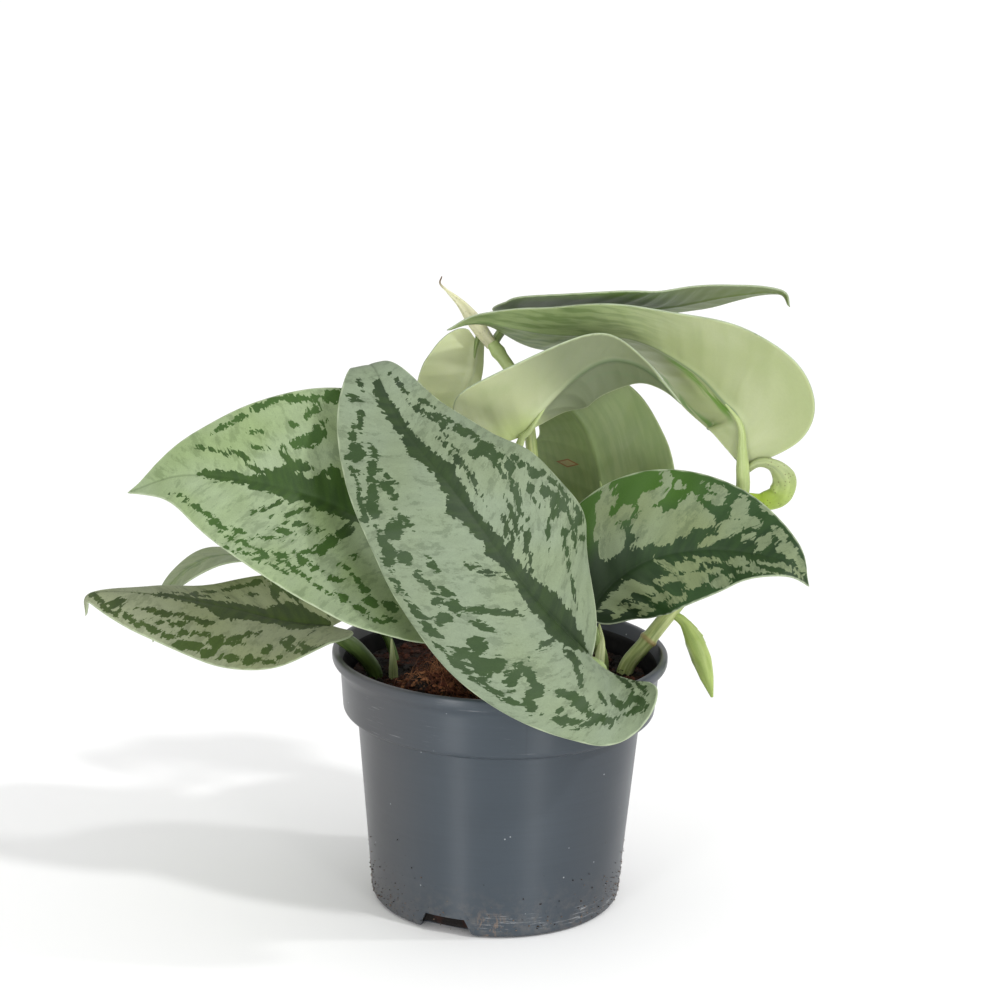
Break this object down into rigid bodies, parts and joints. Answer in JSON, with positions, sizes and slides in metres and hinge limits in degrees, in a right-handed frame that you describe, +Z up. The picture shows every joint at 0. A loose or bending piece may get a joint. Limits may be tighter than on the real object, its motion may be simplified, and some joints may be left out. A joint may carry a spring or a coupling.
{
  "type": "satin pothos in a nursery pot",
  "caption": "Potted trailing aroid with silver-marked heart-shaped leaves, arching stems and curled young growth, rooted in coir in a tapered plastic nursery pot that stands on its flat foot.",
  "frame": {"origin": "middle of the flat underside of the pot", "axes": "+Z up along the pot's axis, -Y towards the viewer, +X to the viewer's right"},
  "size_m": [0.2535, 0.1343, 0.2228],
  "materials": {
    "pot_plastic": "dark blue-grey thermoformed plastic, satin, lightly scuffed",
    "coir": "moist brown coir and peat mix with pale fibres",
    "silver_leaf": "satin silver-green upper face with dark green markings, paler underside",
    "young_green": "smooth pale yellow-green stems, young leaves and leaf undersides"
  },
  "bodies": {
    "root": {"nursery_pot": "pot_plastic", "potting_soil": "coir", "leaf_front": "silver_leaf", "leaf_left": "silver_leaf", "leaf_low_left": "silver_leaf", "leaf_back_left": "silver_leaf", "leaf_right": "silver_leaf", "leaf_middle": "silver_leaf", "leaf_back": "silver_leaf", "vine_right": "young_green", "vine_centre": "young_green", "soil_shoot": "young_green"}
  },
  "joints": []
}
